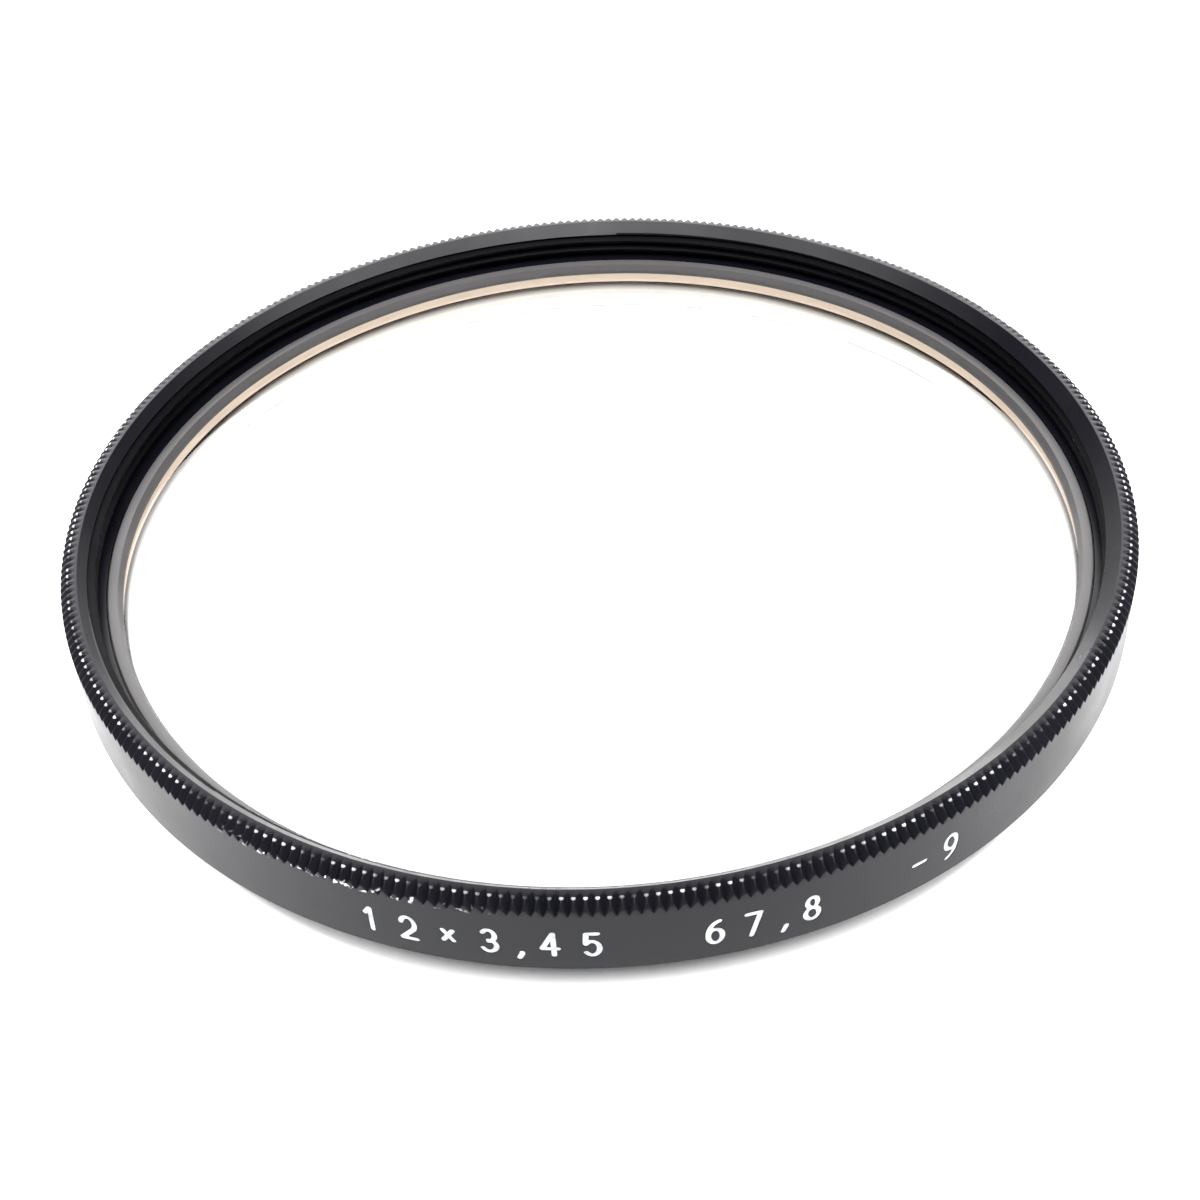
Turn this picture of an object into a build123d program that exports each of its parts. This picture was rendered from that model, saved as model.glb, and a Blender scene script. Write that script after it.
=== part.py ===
from build123d import *
import math
import os

# Screw-in lens correction filter, lying on its rear end with its front on top.
# Millimetres, Z up along the optical axis, origin at the centre of the rear end face.
# Every screw thread is drawn as a plain cylinder at the crests of the real thread.

# Screw threads, the same size in front, to take a hood or another filter, and behind
thread_diameter = 67.0
thread_pitch = 0.75
internal_thread_ratio = 0.5413
thread_play = 0.05

# Ring, from its front face down to its rear end
rim_wall = 1.7
mouth_chamfer = 0.95
front_thread_length = 1.35
run_out_length = 0.35
run_out_depth = 0.05
shoulder_to_seat = 0.04
spigot_length = 2.2
spigot_chamfer = 0.25
relief_width = 0.4
relief_depth = 0.5
lower_edge_chamfer = 0.12
rear_edge_chamfer = 0.2

# Knurl, straight V grooves along the bevel between the front face and the rim's side
knurl_bevel = 0.54
knurl_pitch = 0.654
knurl_groove_angle = 90.0
knurl_overcut = 0.015
knurl_tool_margin = 0.15

# Glass, a plane disc with bevelled edges, in a pocket above its seat
glass_thickness = 2.0
glass_bevel = 0.15
glass_play = 0.1
pocket_step = 0.53
seat_width = 0.33

# Retaining ring, on a smaller thread that lets it drop through the front thread
retainer_thread_step = 0.5
retainer_thread_pitch = 0.5
retainer_height = 0.75
retainer_bevel_width = 0.22
retainer_bevel_drop = 0.5
retainer_chamfer = 0.1
retainer_play = 0.1
retainer_proud = 0.05

# Radii, worked out from the thread inwards and outwards
spigot_radius = thread_diameter / 2
bore_radius = spigot_radius - internal_thread_ratio * thread_pitch
mouth_radius = bore_radius + mouth_chamfer
rim_radius = spigot_radius + rim_wall
run_out_radius = spigot_radius + run_out_depth
relief_radius = spigot_radius - relief_depth
retainer_thread_radius = spigot_radius - retainer_thread_step
retainer_bore_radius = retainer_thread_radius - internal_thread_ratio * retainer_thread_pitch
retainer_radius = retainer_bore_radius - thread_play
pocket_radius = retainer_bore_radius - pocket_step
glass_radius = pocket_radius - glass_play
aperture_radius = glass_radius - seat_width

# Heights above the rear end face
shoulder_z = spigot_length
seat_z = shoulder_z + shoulder_to_seat
glass_top_z = seat_z + glass_thickness
pocket_top_z = glass_top_z - retainer_play
retainer_top_z = glass_top_z + retainer_height
retainer_mouth_z = retainer_top_z - retainer_proud
thread_end_z = retainer_top_z + run_out_length
bore_top_z = thread_end_z + front_thread_length
front_z = bore_top_z + mouth_chamfer


def turned(points):
    """A solid turned about the optical axis from a closed outline of (radius, height) points."""
    with BuildPart() as solid:
        with BuildSketch(Plane.XZ):
            with BuildLine():
                Polyline(*points, close=True)
            make_face()
        revolve(axis=Axis.Z)
    return solid.part


def ring_blank():
    """The ring before its knurl: seat, glass pocket, both bores, rim, shoulder and spigot."""
    return turned([
        (aperture_radius, rear_edge_chamfer),
        (aperture_radius, seat_z),
        (pocket_radius, seat_z),
        (pocket_radius, pocket_top_z),
        (retainer_bore_radius, pocket_top_z),
        (retainer_bore_radius, retainer_mouth_z),
        (run_out_radius, retainer_mouth_z),
        (run_out_radius, thread_end_z),
        (bore_radius, thread_end_z),
        (bore_radius, bore_top_z),
        (mouth_radius, front_z),
        (rim_radius - knurl_bevel, front_z),
        (rim_radius, front_z - knurl_bevel),
        (rim_radius, shoulder_z + lower_edge_chamfer),
        (rim_radius - lower_edge_chamfer, shoulder_z),
        (relief_radius, shoulder_z),
        (relief_radius, shoulder_z - relief_width),
        (spigot_radius, shoulder_z - relief_width),
        (spigot_radius, spigot_chamfer),
        (spigot_radius - spigot_chamfer, 0),
        (aperture_radius + rear_edge_chamfer, 0),
    ])


def knurl_groove(depth):
    """A prism that cuts one V groove along the bevel at azimuth 0, running out at both ends."""
    half_length = math.hypot(knurl_bevel, knurl_bevel) / 2 + depth + knurl_tool_margin
    height = depth + knurl_tool_margin
    half_width = height * math.tan(math.radians(knurl_groove_angle / 2))
    bevel_middle = Vector(rim_radius - knurl_bevel / 2, 0, front_z - knurl_bevel / 2)
    along = Vector(-1, 0, 1).normalized()
    outward = Vector(1, 0, 1).normalized()
    start = bevel_middle - outward * depth - along * half_length
    with BuildPart() as groove:
        with BuildSketch(Plane(origin=start, x_dir=(0, -1, 0), z_dir=along)):
            with BuildLine():
                Polyline((0, 0), (half_width, height), (-half_width, height), close=True)
            make_face()
        extrude(amount=2 * half_length)
    return groove.part


def filter_ring():
    """The turned ring with its bevel knurled all round, just past full form, so crests are sharp."""
    groove_count = round(2 * math.pi * rim_radius / knurl_pitch)
    bevel_pitch = 2 * math.pi * (rim_radius - knurl_bevel / 2) / groove_count
    depth = bevel_pitch / 2 / math.tan(math.radians(knurl_groove_angle / 2)) + knurl_overcut
    groove = knurl_groove(depth)
    with BuildPart() as ring:
        add(ring_blank())
        with PolarLocations(0, groove_count):
            add(groove, mode=Mode.SUBTRACT)
    return ring.part


def filter_glass():
    """The glass disc on its seat."""
    return turned([
        (0, seat_z),
        (glass_radius - glass_bevel, seat_z),
        (glass_radius, seat_z + glass_bevel),
        (glass_radius, glass_top_z - glass_bevel),
        (glass_radius - glass_bevel, glass_top_z),
        (0, glass_top_z),
    ])


def retaining_ring():
    """The threaded ring on the glass, bevelled steeply towards the aperture."""
    return turned([
        (aperture_radius, glass_top_z),
        (retainer_radius, glass_top_z),
        (retainer_radius, retainer_top_z - retainer_chamfer),
        (retainer_radius - retainer_chamfer, retainer_top_z),
        (aperture_radius + retainer_bevel_width, retainer_top_z),
        (aperture_radius, retainer_top_z - retainer_bevel_drop),
    ])


pieces = {
    "filter_ring": filter_ring(),
    "filter_glass": filter_glass(),
    "retaining_ring": retaining_ring(),
}
os.makedirs("parts", exist_ok=True)
for name, piece in pieces.items():
    piece.label = name
    export_step(piece, "parts/" + name + ".step")
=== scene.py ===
import math

import bmesh
import bpy
import numpy as np
from mathutils import Matrix, Vector
from mathutils.geometry import delaunay_2d_cdt


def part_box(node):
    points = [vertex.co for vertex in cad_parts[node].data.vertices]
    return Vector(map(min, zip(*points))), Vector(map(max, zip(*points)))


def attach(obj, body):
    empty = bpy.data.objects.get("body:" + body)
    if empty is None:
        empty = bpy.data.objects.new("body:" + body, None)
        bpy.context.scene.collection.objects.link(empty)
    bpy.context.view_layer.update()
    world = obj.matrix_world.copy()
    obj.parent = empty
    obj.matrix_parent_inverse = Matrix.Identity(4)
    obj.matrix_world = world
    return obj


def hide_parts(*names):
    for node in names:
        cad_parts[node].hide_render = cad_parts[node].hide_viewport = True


# A screw-in lens correction filter, lying on its rear end on a pale floor.
# The ring's knurl, threads and sunk figures are modelled here at full detail.

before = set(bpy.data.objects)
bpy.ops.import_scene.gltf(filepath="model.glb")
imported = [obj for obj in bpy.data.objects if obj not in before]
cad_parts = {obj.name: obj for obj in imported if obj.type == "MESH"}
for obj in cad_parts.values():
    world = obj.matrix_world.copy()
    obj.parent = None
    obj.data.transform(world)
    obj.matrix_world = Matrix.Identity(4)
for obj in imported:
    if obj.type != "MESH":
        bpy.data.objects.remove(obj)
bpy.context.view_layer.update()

MM = 0.001

# Sizes of the pieces, in millimetres, from the frame where it has them
_, ring_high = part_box("filter_ring")
glass_low, glass_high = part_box("filter_glass")
_, retainer_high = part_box("retaining_ring")
RIM_R = ring_high.x / MM
FRONT_Z = ring_high.z / MM
SEAT_Z = glass_low.z / MM
GLASS_TOP_Z = glass_high.z / MM
GLASS_R = glass_high.x / MM
RETAINER_R = retainer_high.x / MM
RETAINER_TOP_Z = retainer_high.z / MM
GLASS_BEVEL = 0.15

# The ring's rear end
SHOULDER_Z = 2.2
LOWER_EDGE = 0.12
SPIGOT_R = 33.5
SPIGOT_END_CHAMFER = 0.25
RELIEF_R = 33.0
RELIEF_WIDTH = 0.4
REAR_EDGE = 0.2

# The ring's inside, from the rear bore up to the mouth
APERTURE_R = 31.769
SEAT_ROUND = 0.03
POCKET_R = 32.199
POCKET_TOP_Z = GLASS_TOP_Z - 0.1
RETAINER_BORE_R = 32.729
RETAINER_MOUTH_Z = RETAINER_TOP_Z - 0.05
RUN_OUT_R = 33.55
THREAD_END_Z = RETAINER_TOP_Z + 0.35
BORE_R = 33.094
MOUTH_R = BORE_R + 0.95
MOUTH_ROUND = 0.02
ON_CHAMFER = 0.01

# The retaining ring's bevel and edges
RETAINER_BEVEL_DROP = 0.5
RETAINER_BEVEL_TOP_R = APERTURE_R + 0.25
RETAINER_CHAMFER = 0.1
RETAINER_EDGE_WIDTH = 0.04
RETAINER_EDGE_DROP = 0.02
RETAINER_FOOT_WIDTH = 0.01
RETAINER_FOOT_RISE = 0.03

# Knurl: the bevel, and each tooth's columns as (share of the pitch from the root, share of the depth)
TEETH = 338
BEVEL = 0.54
KNURL_DEPTH = 0.29
TOOTH = [(0.0, 0.96), (0.06, 0.866), (0.40, 0.10), (0.447, 0.0), (0.5, 0.0)]
COLUMNS = 2 * TEETH
KNURL_ROUND = 0.035
KNURL_LOW_Z = FRONT_Z - 1.0
KNURL_HIGH_R = MOUTH_R + 0.056
COLUMN_CHANGE = 0.05
LIP_CHANGE = 0.02

# Threads, with the phases of the pitch at which each wall has a row of points
PITCH = 0.75
ROOT_SHARE = 1 / 16
CREST_SHARE = 3 / 8
REAR_THREAD_DEPTH = 0.46
FRONT_GROOVE_Z = FRONT_Z - 1.10
REAR_GROOVE_Z = 0.3
FRONT_PHASES = [0.0, 0.05, 0.075, 0.22, 0.355, 0.385, 0.44]
REAR_PHASES = [0.0, 0.0625, 0.22, 0.375]

# Figures on the rim, as (text, centre azimuth in degrees, size as a share of the full height)
FIGURES = [
    ("1", 246.8, 1.0), ("2", 250.5, 1.0), ("x", 254.25, 0.72), ("3", 258.0, 1.0), (",", 260.8, 1.0),
    ("4", 263.4, 1.0), ("5", 267.1, 1.0), ("6", 278.0, 1.0), ("7", 281.5, 1.0), (",", 284.45, 1.0),
    ("8", 287.0, 1.0), ("-", 298.1, 1.0), ("9", 301.7, 1.0),
]
FIGURE_HIGH_Z = FRONT_Z - 2.2
FIGURE_HEIGHT = 2.15
FIGURE_WIDTH = 1.3
STROKE = 0.34
FIGURE_DEPTH = 0.05
FIGURE_WALL = 0.02
PATCH_START_DEG = 243.0
PATCH_END_DEG = 306.0

# Creases sharper than this angle stay sharp, and points closer than this are one
CREASE_DEG = 28
WELD = 0.00002
TURNED_COLUMNS = 720

# Rubbed stretch of the knurl's lower edge, and painted glints in a light bare-metal colour at the corners of
# the crests' tops
WEAR_DEG = 244.0
WEAR_REACH = 9.0
WEAR_Z = FRONT_Z - 0.84
WEAR_FULL, WEAR_NONE = 0.05, 0.22
GLINT_FULL, GLINT_NONE = 0.06, 0.11

# Colours and finishes
BLACK = (0.004, 0.004, 0.007)
THREAD_BLACK = (0.002, 0.002, 0.003)
RETAINER_GREY = (0.082, 0.078, 0.079)
BARE_METAL_AND_GLINT = (0.8, 0.8, 0.82)
PAINT_BASE = (0.7, 0.72, 0.76)
PAINT_THIN = (0.45, 0.47, 0.52)
PAINT_FULL = (0.80, 0.82, 0.86)
# The rear bore's light metal, and the painted shade next to the seat
REAR_LIGHT = (0.85, 0.83, 0.8)
REAR_PAINTED_SHADE = (0.03, 0.02, 0.015)
REAR_MEAN = (0.7, 0.68, 0.66)
GLASS_TINT = (1.0, 0.996, 0.988)
GROUND_TINT = (1.0, 0.84, 0.68)
GLASS_IOR = 1.52
FLOOR_WHITE = (0.92, 0.92, 0.92)

# Camera, in millimetres and degrees, above the centre of the front face
CAMERA_AT = (-0.124, -98.089, 77.9)
CAMERA_PITCH = 41.864
CAMERA_ROLL = 3.785
CAMERA_LENS = 56.478
SENSOR = 36.0
NEAR_CLIP = 0.005

# Soft lights, as (name, degrees round from the viewer, elevation, full within, none beyond, strength)
LIGHTS = [
    ("over_viewer", 0, 66, 8, 22, 10.5),
    ("high_left", -65, 55, 8, 26, 5.2),
    ("high_right", 65, 55, 8, 26, 6.4),
    ("low_behind", 180, 24, 20, 34, 5.0),
]
ROOM_LIGHT = 0.22

# Spots that brighten the floor close to the ring's sides, in metres, watts and degrees
SPOT_X = 0.26
SPOT_HEIGHT = 0.30
SPOT_TARGET_X = 0.050
SPOT_POWER = 7.0
SPOT_CONE_DEG = 15.0
SPOT_SOFTNESS = 0.02
FLOOR_SIZE = 4.0


class Skin:
    """Points and faces gathered for one mesh, with a material number for each face."""

    def __init__(self):
        self.points = []
        self.faces = []
        self.numbers = []

    def add(self, x, y, z):
        """Adds points given as arrays and returns their numbers in the same shape."""
        x, y, z = np.broadcast_arrays(x, y, z)
        first = len(self.points)
        self.points.extend(zip(x.ravel().tolist(), y.ravel().tolist(), z.ravel().tolist()))
        return first + np.arange(x.size).reshape(x.shape)

    def turn(self, radii, heights, azimuths):
        """Adds points at the given radii, heights and azimuths."""
        return self.add(radii * np.cos(azimuths), radii * np.sin(azimuths), heights)

    def face(self, corners, number):
        """Adds one face."""
        self.faces.append(tuple(int(c) for c in corners))
        self.numbers.append(number)

    def band(self, lower, upper, number=0, skip=()):
        """Adds quads between two closed loops of equal length, but none at the skipped columns."""
        count = len(lower)
        for i in range(count):
            if i in skip:
                continue
            j = (i + 1) % count
            self.face((lower[i], lower[j], upper[j], upper[i]), number)

    def stack(self, start, outline, azimuths):
        """Adds bands from a loop through an outline of (radius, height, number). Returns the last loop."""
        above = start
        for radius, height, number in outline:
            below = self.turn(radius + 0 * azimuths, height + 0 * azimuths, azimuths)
            self.band(above, below, number)
            above = below
        return above

    def thin_out(self, coarse, fine, number, coarse_is_lower):
        """Adds faces between a closed loop and one with several points for each of its own."""
        step = len(fine) // len(coarse)
        for i in range(len(coarse)):
            j = (i + 1) % len(coarse)
            run = [fine[(i * step + k) % len(fine)] for k in range(step + 1)]
            corners = [coarse[i], coarse[j]] + run[::-1]
            self.face(corners if coarse_is_lower else corners[::-1], number)

    def build(self, name, materials):
        """Makes the object, in metres, with coincident points welded and creases by angle."""
        mesh = bpy.data.meshes.new(name)
        mesh.from_pydata([(x * MM, y * MM, z * MM) for x, y, z in self.points], [], self.faces)
        mesh.polygons.foreach_set("material_index", self.numbers)
        cleaner = bmesh.new()
        cleaner.from_mesh(mesh)
        bmesh.ops.remove_doubles(cleaner, verts=cleaner.verts, dist=WELD * MM)
        bmesh.ops.dissolve_degenerate(cleaner, edges=cleaner.edges, dist=WELD * MM)
        bmesh.ops.recalc_face_normals(cleaner, faces=cleaner.faces)
        cleaner.to_mesh(mesh)
        cleaner.free()
        mesh.polygons.foreach_set("use_smooth", [True] * len(mesh.polygons))
        mesh.set_sharp_from_angle(angle=math.radians(CREASE_DEG))
        piece = bpy.data.objects.new(name, mesh)
        bpy.context.scene.collection.objects.link(piece)
        for material in materials:
            mesh.materials.append(material)
        return piece


def coarse_azimuths():
    """One column at each tooth's root and one at each crest."""
    return np.arange(COLUMNS) * 2 * math.pi / COLUMNS


def tooth_columns():
    """Azimuth and depth share of every fine column of the knurl."""
    mirrored = [(1 - offset, depth) for offset, depth in TOOTH[-2:0:-1]]
    columns = TOOTH + mirrored
    pitch = 2 * math.pi / TEETH
    azimuths = np.array([(tooth + offset) * pitch for tooth in range(TEETH) for offset, _ in columns])
    shares = np.array([depth for _ in range(TEETH) for _, depth in columns])
    return azimuths, shares


def knurl(skin, number):
    """Adds the knurled bevel, from the rim's side to the front face. Returns its two edge loops."""
    azimuths, shares = tooth_columns()
    cut = BEVEL + math.sqrt(2) * KNURL_DEPTH * shares
    # Each of the bevel's two edges is a small arc, met by three points
    half_corner = math.radians(67.5)
    slant = math.sqrt(0.5) * KNURL_ROUND
    dip = (1 / math.cos(half_corner) - math.tan(half_corner)) * KNURL_ROUND
    along, across = dip * math.sin(half_corner), dip * math.cos(half_corner)
    low_z = FRONT_Z - cut
    high_r = RIM_R - cut
    rows = [
        (RIM_R, KNURL_LOW_Z),
        (RIM_R, low_z - KNURL_ROUND),
        (RIM_R - along, low_z - across),
        (RIM_R - slant, low_z + slant),
        (high_r + slant, FRONT_Z - slant),
        (high_r - across, FRONT_Z - along),
        (high_r - KNURL_ROUND, FRONT_Z),
        (KNURL_HIGH_R, FRONT_Z),
    ]
    loops = [skin.turn(r + 0 * cut, z + 0 * cut, azimuths) for r, z in rows]
    for lower, upper in zip(loops, loops[1:]):
        skin.band(lower, upper, number)
    return loops[0], loops[-1]


def thread_share(phase):
    """Height of a thread's profile, 0 at the root and 1 at the crest, at a phase of its pitch."""
    distance = np.abs(phase - np.round(phase))
    return np.clip((distance - ROOT_SHARE) / (CREST_SHARE - ROOT_SHARE), 0, 1)


def front_radius(height, share):
    """Radius of the front bore: the thread, opened out by the mouth's chamfer."""
    thread = SPIGOT_R - (SPIGOT_R - BORE_R) * share
    return np.maximum(thread, chamfer_radius(height))


def rear_radius(height, share):
    """Radius of the rear spigot: the thread, cut down by the chamfer at its end."""
    thread = SPIGOT_R - REAR_THREAD_DEPTH * (1 - share)
    return np.minimum(thread, SPIGOT_R - SPIGOT_END_CHAMFER + height)


def chamfer_radius(height):
    """Radius of the mouth's 45 degree chamfer at a height."""
    return MOUTH_R - (FRONT_Z - height)


def helix_wall(skin, numbers, low_z, high_z, groove_z, phases, radius_at):
    """Adds a threaded wall whose rows of points follow the helix, cut off level at both ends.

    The first material number is for the wall, the second for what lies on the mouth's chamfer.
    """
    def add(corners):
        places = [skin.points[c] for c in corners]
        off = [abs(math.hypot(x, y) - chamfer_radius(z)) for x, y, z in places]
        skin.face(corners, numbers[max(off) < ON_CHAMFER])

    azimuths = coarse_azimuths()
    turns = azimuths / (2 * math.pi)

    def row_at(heights):
        share = thread_share((heights - groove_z) / PITCH - turns)
        return skin.turn(radius_at(heights, share), heights, azimuths)

    around = phases + [0.5] + [1 - phase for phase in phases[:0:-1]]
    first_turn = math.floor((low_z - groove_z) / PITCH) - 1
    turn_count = math.ceil((high_z - low_z) / PITCH) + 3
    grid = [row_at(np.clip(groove_z + PITCH * (turn + phase + turns), low_z, high_z))
            for turn in range(first_turn, first_turn + turn_count) for phase in around]

    # A row ends where the one a whole turn above it begins
    last = COLUMNS - 1
    per_turn = len(around)
    for row in range(len(grid) - 1):
        here, above = grid[row], grid[row + 1]
        for i in range(last):
            add((here[i], here[i + 1], above[i + 1], above[i]))
        if row + 1 + per_turn < len(grid):
            add((here[last], grid[row + per_turn][0], grid[row + 1 + per_turn][0], above[last]))
    return row_at(low_z + 0 * azimuths), row_at(high_z + 0 * azimuths)


def arc(centre, radius_x, radius_y, start_deg, end_deg, count=14):
    """Points along part of an ellipse."""
    angles = np.radians(np.linspace(start_deg, end_deg, count))
    return [(centre[0] + radius_x * math.cos(a), centre[1] + radius_y * math.sin(a)) for a in angles]


def strokes_of(character):
    """Pen strokes of a plain figure in a box from (-1, 0) to (1, 2)."""
    if character == "1":
        return [[(0.15, 0), (0.15, 2)], [(0.15, 2), (-0.5, 1.5)]]
    if character == "2":
        return [arc((0, 1.32), 0.82, 0.68, 165, -38), [(0.64, 0.9), (-0.85, 0)], [(-0.85, 0), (0.9, 0)]]
    if character == "3":
        return [arc((-0.05, 1.47), 0.72, 0.53, 150, -90), arc((-0.05, 0.52), 0.85, 0.52, 90, -150)]
    if character == "4":
        return [[(0.4, 0), (0.4, 2)], [(0.4, 2), (-0.9, 0.6)], [(-0.9, 0.6), (0.9, 0.6)]]
    if character == "5":
        return [[(0.7, 2), (-0.6, 2)], [(-0.6, 2), (-0.7, 1.15)], arc((0, 0.65), 0.86, 0.65, 142, -142)]
    if character == "6":
        return [arc((0, 0.62), 0.82, 0.62, 0, 360, 26), arc((0.75, 0.75), 1.56, 1.25, 100, 186)]
    if character == "7":
        return [[(-0.8, 2), (0.8, 2)], [(0.8, 2), (-0.25, 0)]]
    if character == "8":
        return [arc((0, 1.52), 0.62, 0.48, 0, 360, 22), arc((0, 0.52), 0.82, 0.52, 0, 360, 26)]
    if character == "9":
        return [arc((0, 1.38), 0.82, 0.62, 0, 360, 26), arc((-0.75, 1.25), 1.56, 1.25, -80, 6)]
    if character == "x":
        return [[(-0.8, 0.35), (0.8, 1.65)], [(-0.8, 1.65), (0.8, 0.35)]]
    if character == "-":
        return [[(-0.8, 1), (0.8, 1)]]
    return [[(0.1, 0.12), (0.1, 0.0), (-0.25, -0.38)]]


def figure_lines():
    """Centre lines of every stroke, in millimetres along the rim and up it."""
    lines = []
    centre_z = FIGURE_HIGH_Z - FIGURE_HEIGHT / 2
    for character, centre_deg, size in FIGURES:
        middle = math.radians(centre_deg) * RIM_R
        half_height = size * (FIGURE_HEIGHT - STROKE) / 2
        half_width = size * (FIGURE_WIDTH - STROKE) / 2
        for stroke in strokes_of(character):
            lines.append([(middle + half_width * x, centre_z + half_height * (y - 1)) for x, y in stroke])
    return lines


def round_cap(centre, start, half_width):
    """Points of a half circle round a stroke's end, without its two ends."""
    angle = math.atan2(start[1], start[0])
    turns = angle - np.linspace(0, math.pi, 9)[1:-1]
    return np.stack([centre[0] + half_width * np.cos(turns), centre[1] + half_width * np.sin(turns)], 1)


def outline_of(line, half_width):
    """A round-ended outline about a centre line."""
    points = np.array(line)
    along = np.gradient(points, axis=0)
    along /= np.linalg.norm(along, axis=1)[:, None]
    side = np.stack([-along[:, 1], along[:, 0]], 1)
    left = points + half_width * side
    right = points - half_width * side
    far_cap = round_cap(points[-1], side[-1], half_width)
    near_cap = round_cap(points[0], -side[0], half_width)
    return np.concatenate([left, far_cap, right[::-1], near_cap])


def distance_to(lines, x, y):
    """Shortest distance from a point to a set of centre lines."""
    nearest = math.inf
    for line in lines:
        for (ax, ay), (bx, by) in zip(line, line[1:]):
            if min(abs(ax - x), abs(bx - x)) > 2 * STROKE:
                continue
            length = (bx - ax) ** 2 + (by - ay) ** 2
            share = ((x - ax) * (bx - ax) + (y - ay) * (by - ay)) / length if length else 0
            share = min(1, max(0, share))
            nearest = min(nearest, math.hypot(x - ax - share * (bx - ax), y - ay - share * (by - ay)))
    return nearest


def patch_frame(columns, low_z, high_z):
    """Points and edges of the patch's border and of the upright line at each column."""
    points = [(x, z) for x in columns for z in (low_z, high_z)]
    edges = [(2 * i, 2 * i + 1) for i in range(len(columns))]
    for i in range(len(columns) - 1):
        edges += [(2 * i, 2 * i + 2), (2 * i + 1, 2 * i + 3)]
    return points, edges


def figure_patch(skin, number, paint_number, low_z, high_z):
    """Adds the stretch of the rim's side with the figures sunk into it. Returns its columns."""
    azimuths = coarse_azimuths()
    first = round(math.radians(PATCH_START_DEG) / azimuths[1])
    last = round(math.radians(PATCH_END_DEG) / azimuths[1])
    points, edges = patch_frame(azimuths[first:last + 1] * RIM_R, low_z, high_z)
    lines = figure_lines()
    for half_width in (STROKE / 2, STROKE / 2 - FIGURE_WALL):
        for line in lines:
            outline = outline_of(line, half_width)
            start = len(points)
            points += [tuple(p) for p in outline]
            edges += [(start + i, start + (i + 1) % len(outline)) for i in range(len(outline))]
    tolerance = 1e-5
    vertices, _, faces, _, _, _ = delaunay_2d_cdt([Vector(p) for p in points], edges, [], 0, tolerance, False)
    sunk_within = STROKE / 2 - FIGURE_WALL / 2
    sunk = [distance_to(lines, v.x, v.y) < sunk_within for v in vertices]
    turned = np.array([v.x for v in vertices]) / RIM_R
    heights = np.array([v.y for v in vertices])
    made = skin.turn(RIM_R - FIGURE_DEPTH * np.array(sunk), heights, turned)
    for corners in faces:
        painted = all(sunk[c] for c in corners)
        skin.face([made[c] for c in corners], paint_number if painted else number)
    return range(first, last)


def ring_piece(materials):
    """The whole turned ring as one skin."""
    black, paint, rear, thread = range(4)
    skin = Skin()
    azimuths = coarse_azimuths()

    def loop(radius, height):
        return skin.turn(radius + 0 * azimuths, height + 0 * azimuths, azimuths)

    # The knurl, and the rim's side with the figures
    knurl_low, knurl_high = knurl(skin, black)
    side_low_z = SHOULDER_Z + LOWER_EDGE
    side_high_z = KNURL_LOW_Z - COLUMN_CHANGE
    side_high = loop(RIM_R, side_high_z)
    skin.thin_out(side_high, knurl_low, black, True)
    taken = figure_patch(skin, black, paint, side_low_z, side_high_z)
    side_low = loop(RIM_R, side_low_z)
    skin.band(side_low, side_high, black, taken)

    # The front face's inner edge and the threaded bore
    face_in = loop(KNURL_HIGH_R - LIP_CHANGE, FRONT_Z)
    skin.thin_out(face_in, knurl_high, black, False)
    mouth_in = skin.stack(face_in, [
        (MOUTH_R + MOUTH_ROUND, FRONT_Z, black),
        (MOUTH_R - 0.2 * MOUTH_ROUND, FRONT_Z - 0.2 * MOUTH_ROUND, black),
    ], azimuths)
    thread_low, thread_high = helix_wall(skin, (thread, black), THREAD_END_Z, FRONT_Z - MOUTH_ROUND,
                                         FRONT_GROOVE_Z, FRONT_PHASES, front_radius)
    skin.band(mouth_in, thread_high, black)

    # Down from the thread: run-out groove, retaining ring's bore, glass pocket, seat, rear bore
    rear_in = skin.stack(thread_low, [
        (RUN_OUT_R, THREAD_END_Z, thread),
        (RUN_OUT_R, RETAINER_MOUTH_Z, thread),
        (RETAINER_BORE_R, RETAINER_MOUTH_Z, black),
        (RETAINER_BORE_R, POCKET_TOP_Z, black),
        (POCKET_R, POCKET_TOP_Z, black),
        (POCKET_R, SEAT_Z, black),
        (APERTURE_R + SEAT_ROUND, SEAT_Z, rear),
        (APERTURE_R, SEAT_Z - SEAT_ROUND, rear),
        (APERTURE_R, REAR_EDGE, rear),
        (APERTURE_R + REAR_EDGE, 0, rear),
    ], azimuths)

    # The rear end, its thread and the shoulder
    spigot_top_z = SHOULDER_Z - RELIEF_WIDTH
    rear_low, rear_high = helix_wall(skin, (black, black), 0.0, spigot_top_z,
                                     REAR_GROOVE_Z, REAR_PHASES, rear_radius)
    skin.band(rear_in, rear_low, black)
    shoulder_out = skin.stack(rear_high, [
        (RELIEF_R, spigot_top_z, black),
        (RELIEF_R, SHOULDER_Z, black),
        (RIM_R - LOWER_EDGE, SHOULDER_Z, black),
    ], azimuths)
    skin.band(shoulder_out, side_low, black)
    return skin.build("ring_body", materials)


def lathe(name, outline, materials):
    """A turned piece from an outline of (radius, height, material number), closed or axis to axis."""
    skin = Skin()
    azimuths = np.arange(TURNED_COLUMNS) * 2 * math.pi / TURNED_COLUMNS
    loops = []
    for radius, height, number in outline:
        if radius == 0:
            loops.append((skin.add(0.0, 0.0, height).reshape(-1), number))
        else:
            loops.append((skin.turn(radius + 0 * azimuths, height + 0 * azimuths, azimuths), number))
    pairs = list(zip(loops, loops[1:]))
    if outline[0][0] != 0:
        pairs.append((loops[-1], loops[0]))
    for (here, _), (there, number) in pairs:
        if len(here) == 1 or len(there) == 1:
            centre, loop = (here, there) if len(here) == 1 else (there, here)
            for i in range(TURNED_COLUMNS):
                skin.face((centre[0], loop[i], loop[(i + 1) % TURNED_COLUMNS]), number)
        else:
            skin.band(here, there, number)
    return skin.build(name, materials)


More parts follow.
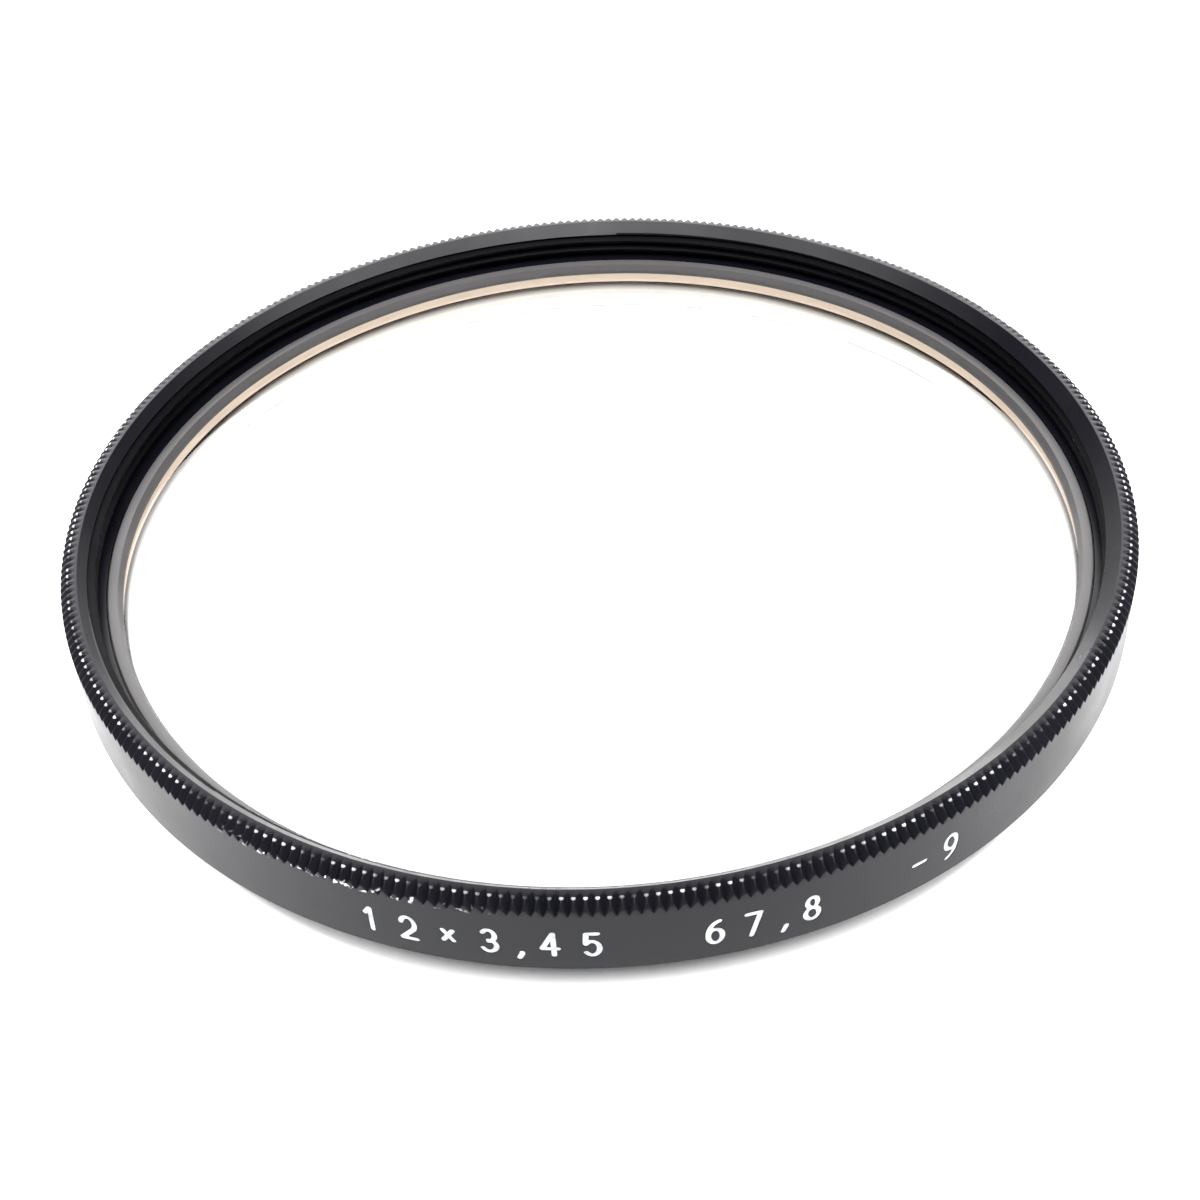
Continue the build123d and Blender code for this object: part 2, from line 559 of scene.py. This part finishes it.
def retainer_piece(materials):
    """The retaining ring on the glass."""
    top, low = RETAINER_TOP_Z, GLASS_TOP_Z
    return lathe("glass_retainer", [
        (APERTURE_R, low, 0),
        (RETAINER_R, low, 0),
        (RETAINER_R, top - RETAINER_CHAMFER, 0),
        (RETAINER_R - RETAINER_CHAMFER, top, 0),
        (RETAINER_BEVEL_TOP_R, top, 0),
        (RETAINER_BEVEL_TOP_R - RETAINER_EDGE_WIDTH, top - RETAINER_EDGE_DROP, 0),
        (APERTURE_R + RETAINER_FOOT_WIDTH, top - RETAINER_BEVEL_DROP + RETAINER_FOOT_RISE, 0),
        (APERTURE_R, top - RETAINER_BEVEL_DROP, 0),
    ], materials)


def glass_piece(materials):
    """The glass disc, polished on its faces and ground at its edge."""
    return lathe("glass_disc", [
        (0, SEAT_Z, 0),
        (GLASS_R - GLASS_BEVEL, SEAT_Z, 0),
        (GLASS_R, SEAT_Z + GLASS_BEVEL, 1),
        (GLASS_R, GLASS_TOP_Z - GLASS_BEVEL, 1),
        (GLASS_R - GLASS_BEVEL, GLASS_TOP_Z, 1),
        (0, GLASS_TOP_Z, 0),
    ], materials)


def node(tree, kind, inputs=None, **settings):
    """Adds a shader node with its settings, and its inputs as sockets to link or values to set."""
    made = tree.nodes.new(kind)
    for key, value in settings.items():
        setattr(made, key, value)
    for key, value in (inputs or {}).items():
        if isinstance(value, bpy.types.NodeSocket):
            tree.links.new(value, made.inputs[key])
        else:
            made.inputs[key].default_value = value
    return made


def material(name, colour, roughness, metallic=0.0, specular=0.5):
    """A principled material. Returns it with its tree and shader."""
    made = bpy.data.materials.new(name)
    made.use_nodes = True
    tree = made.node_tree
    shader = tree.nodes["Principled BSDF"]
    shader.inputs["Base Color"].default_value = (*colour, 1)
    shader.inputs["Roughness"].default_value = roughness
    shader.inputs["Metallic"].default_value = metallic
    shader.inputs["Specular IOR Level"].default_value = specular
    return made, tree, shader


def object_place(tree):
    """The shaded point in the object's own frame."""
    return node(tree, "ShaderNodeTexCoord").outputs["Object"]


def noise(tree, place, scale, detail):
    """A noise texture's value at a place."""
    made = node(tree, "ShaderNodeTexNoise", {"Vector": place, "Scale": scale, "Detail": detail})
    return made.outputs["Fac"]


def ramp(tree, value, low, high, low_value, high_value):
    """Maps a value from one range to another, clipped."""
    return node(tree, "ShaderNodeMapRange", {
        "Value": value, "From Min": low, "From Max": high, "To Min": low_value, "To Max": high_value,
    }).outputs["Result"]


def joined(tree, operation, first, second=0.0):
    """One value from two, each a socket or a number."""
    return node(tree, "ShaderNodeMath", {0: first, 1: second}, operation=operation).outputs["Value"]


def distance(tree, place, point):
    """Distance of a place from a fixed point."""
    return node(tree, "ShaderNodeVectorMath", {0: place, 1: point}, operation="DISTANCE").outputs["Value"]


def mixed(tree, share, none_colour, full_colour):
    """A colour between two, by a share."""
    return node(tree, "ShaderNodeMix", {
        "Factor": share, "A": (*none_colour, 1), "B": (*full_colour, 1),
    }, data_type="RGBA").outputs["Result"]


def height_of(tree, place):
    """The height of a place."""
    return node(tree, "ShaderNodeSeparateXYZ", {"Vector": place}).outputs["Z"]


def black_anodised(name, colour, roughness, specular=0.5):
    """Black anodised metal with a fine grain and uneven gloss."""
    made, tree, shader = material(name, colour, roughness, 0.0, specular)
    place = object_place(tree)
    blotch = ramp(tree, noise(tree, place, 180.0, 3.0), 0.3, 0.7, roughness - 0.05, roughness + 0.06)
    tree.links.new(blotch, shader.inputs["Roughness"])
    bump = node(tree, "ShaderNodeBump", {
        "Strength": 0.06, "Distance": 0.00002, "Height": noise(tree, place, 9000.0, 2.0),
    })
    tree.links.new(bump.outputs["Normal"], shader.inputs["Normal"])
    return made


def edge_specks(tree, place):
    """Share of bare specks along one stretch of the knurl's lower edge."""
    azimuth = math.radians(WEAR_DEG)
    centre = (RIM_R * MM * math.cos(azimuth), RIM_R * MM * math.sin(azimuth), WEAR_Z * MM)
    near = ramp(tree, distance(tree, place, centre), 0.5 * WEAR_REACH * MM, WEAR_REACH * MM, 1.0, 0.0)
    offset = joined(tree, "ABSOLUTE", joined(tree, "SUBTRACT", height_of(tree, place), WEAR_Z * MM))
    level = ramp(tree, offset, WEAR_FULL * MM, WEAR_NONE * MM, 1.0, 0.0)
    specks = ramp(tree, noise(tree, place, 2600.0, 2.0), 0.59, 0.63, 0.0, 1.0)
    return joined(tree, "MULTIPLY", joined(tree, "MULTIPLY", near, level), specks)


def painted_glint_corners(tree, place):
    """Share of painted glint, in a light bare-metal colour, at the upper corners of the knurl's crests."""
    flat = node(tree, "ShaderNodeVectorMath", {0: place, 1: (1, 1, 0)}, operation="MULTIPLY")
    radius = node(tree, "ShaderNodeVectorMath", {0: flat.outputs["Vector"]}, operation="LENGTH")
    profile = node(tree, "ShaderNodeCombineXYZ", {"X": radius.outputs["Value"], "Z": height_of(tree, place)})
    corner = distance(tree, profile.outputs["Vector"], ((RIM_R - BEVEL) * MM, 0, FRONT_Z * MM))
    # Painted glint, strongest at each crest's upper corner
    glint_share = ramp(tree, corner, GLINT_FULL * MM, GLINT_NONE * MM, 1.0, 0.0)
    uneven = ramp(tree, noise(tree, place, 500.0, 2.0), 0.40, 0.62, 0.05, 0.85)
    return joined(tree, "MULTIPLY", glint_share, uneven)


def ring_black():
    """The ring's black finish, rubbed through at the knurl's lower edge, with painted glints at the crests'
    upper corners.
    """
    made = black_anodised("ring_black", BLACK, 0.3, 0.25)
    tree = made.node_tree
    place = object_place(tree)
    # Bare specks of wear at the lower edge, and painted glints at the crests' upper corners, both in the
    # light bare-metal colour
    wear_and_glints = joined(tree, "MAXIMUM", edge_specks(tree, place), painted_glint_corners(tree, place))
    tree.links.new(mixed(tree, wear_and_glints, BLACK, BARE_METAL_AND_GLINT), tree.nodes["Principled BSDF"].inputs["Base Color"])
    return made


def paint_white():
    """White engraving fill, a little uneven."""
    made, tree, shader = material("figure_fill", PAINT_BASE, 0.5)
    cover = ramp(tree, noise(tree, object_place(tree), 1500.0, 3.0), 0.3, 0.6, 0.0, 1.0)
    tree.links.new(mixed(tree, cover, PAINT_THIN, PAINT_FULL), shader.inputs["Base Color"])
    return made


def rear_metal():
    """The seat's edge and the rear bore: painted shade, dark next to the seat, and light satin metal below.
    """
    made, tree, shader = material("rear_bore_metal", REAR_MEAN, 0.4, 0.6)
    height = height_of(tree, object_place(tree))
    # Painted shade under the seat's ledge, fading to the light metal colour lower down
    share = ramp(tree, height, (SEAT_Z - 0.7) * MM, (SEAT_Z - 0.1) * MM, 0.0, 1.0)
    tree.links.new(mixed(tree, share, REAR_LIGHT, REAR_PAINTED_SHADE), shader.inputs["Base Color"])
    return made


def clear_glass():
    """Polished glass with a faint warm tint."""
    made, _, shader = material("tinted_glass", GLASS_TINT, 0.0)
    shader.inputs["Transmission Weight"].default_value = 1.0
    shader.inputs["IOR"].default_value = GLASS_IOR
    return made


def ground_glass():
    """The glass's ground edge."""
    made, tree, shader = material("ground_glass_edge", GROUND_TINT, 0.6)
    grain = ramp(tree, noise(tree, object_place(tree), 4000.0, 2.0), 0.3, 0.7, 0.5, 0.7)
    tree.links.new(grain, shader.inputs["Roughness"])
    return made


def pale_floor():
    """A plain pale floor."""
    bpy.ops.mesh.primitive_plane_add(size=FLOOR_SIZE, location=(0, 0, 0))
    floor = bpy.context.object
    floor.name = "floor"
    made, _, _ = material("floor_white", FLOOR_WHITE, 0.8)
    floor.data.materials.append(made)


def side_spot(side):
    """A spot on the floor close to one side of the ring, where the plain band reflects it."""
    light = bpy.data.lights.new("side_spot", "SPOT")
    light.energy = SPOT_POWER
    light.spot_size = math.radians(SPOT_CONE_DEG)
    light.spot_blend = 1.0
    light.shadow_soft_size = SPOT_SOFTNESS
    holder = bpy.data.objects.new("side_spot", light)
    holder.location = (side * SPOT_X, 0, SPOT_HEIGHT)
    aim = Vector((side * (SPOT_TARGET_X - SPOT_X), 0, -SPOT_HEIGHT))
    holder.rotation_euler = aim.to_track_quat("-Z", "Y").to_euler()
    bpy.context.scene.collection.objects.link(holder)


def studio_light():
    """A dim room with soft lights above the viewer, on both sides and low behind the ring."""
    world = bpy.data.worlds.new("studio")
    world.use_nodes = True
    tree = world.node_tree
    background = tree.nodes["Background"]
    direction = node(tree, "ShaderNodeTexCoord").outputs["Generated"]
    total = ROOM_LIGHT
    for name, side_deg, elevation_deg, inner_deg, outer_deg, strength in LIGHTS:
        side, elevation = math.radians(side_deg), math.radians(elevation_deg)
        level = math.cos(elevation)
        aim = (level * math.sin(side), -level * math.cos(side), math.sin(elevation))
        nearness = node(tree, "ShaderNodeVectorMath", {0: direction, 1: aim}, operation="DOT_PRODUCT")
        nearness.label = name
        outer, inner = math.cos(math.radians(outer_deg)), math.cos(math.radians(inner_deg))
        share = ramp(tree, nearness.outputs["Value"], outer, inner, 0.0, strength)
        total = joined(tree, "ADD", total, share)
    tree.links.new(total, background.inputs["Strength"])
    background.inputs["Color"].default_value = (1, 1, 1, 1)
    bpy.context.scene.world = world


def camera():
    """The photograph's view."""
    pitch, roll = math.radians(CAMERA_PITCH), math.radians(CAMERA_ROLL)
    forward = Vector((0, math.cos(pitch), -math.sin(pitch)))
    right = Vector((1, 0, 0))
    up = right.cross(forward)
    across = right * math.cos(roll) - up * math.sin(roll)
    upright = right * math.sin(roll) + up * math.cos(roll)
    data = bpy.data.cameras.new("view")
    data.sensor_width = SENSOR
    data.lens = CAMERA_LENS
    data.clip_start = NEAR_CLIP
    holder = bpy.data.objects.new("view", data)
    place = Vector(CAMERA_AT) * MM + Vector((0, 0, FRONT_Z * MM))
    turned = Matrix((across, upright, -forward)).transposed().to_4x4()
    holder.matrix_world = Matrix.Translation(place) @ turned
    bpy.context.scene.collection.objects.link(holder)
    bpy.context.scene.camera = holder


bpy.context.scene.view_settings.view_transform = "Standard"

thread_black = black_anodised("thread_black", THREAD_BLACK, 0.5, 0.05)
ring = ring_piece([ring_black(), paint_white(), rear_metal(), thread_black])
retainer = retainer_piece([black_anodised("retainer_black", RETAINER_GREY, 0.45)])
glass = glass_piece([clear_glass(), ground_glass()])
for piece, cad_node, slot in (
    (ring, "filter_ring", "ring_black"),
    (retainer, "retaining_ring", "retainer_black"),
    (glass, "filter_glass", "tinted_glass"),
):
    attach(piece, "root")
    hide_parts(cad_node)
pale_floor()
for side in (-1, 1):
    side_spot(side)
studio_light()
camera()
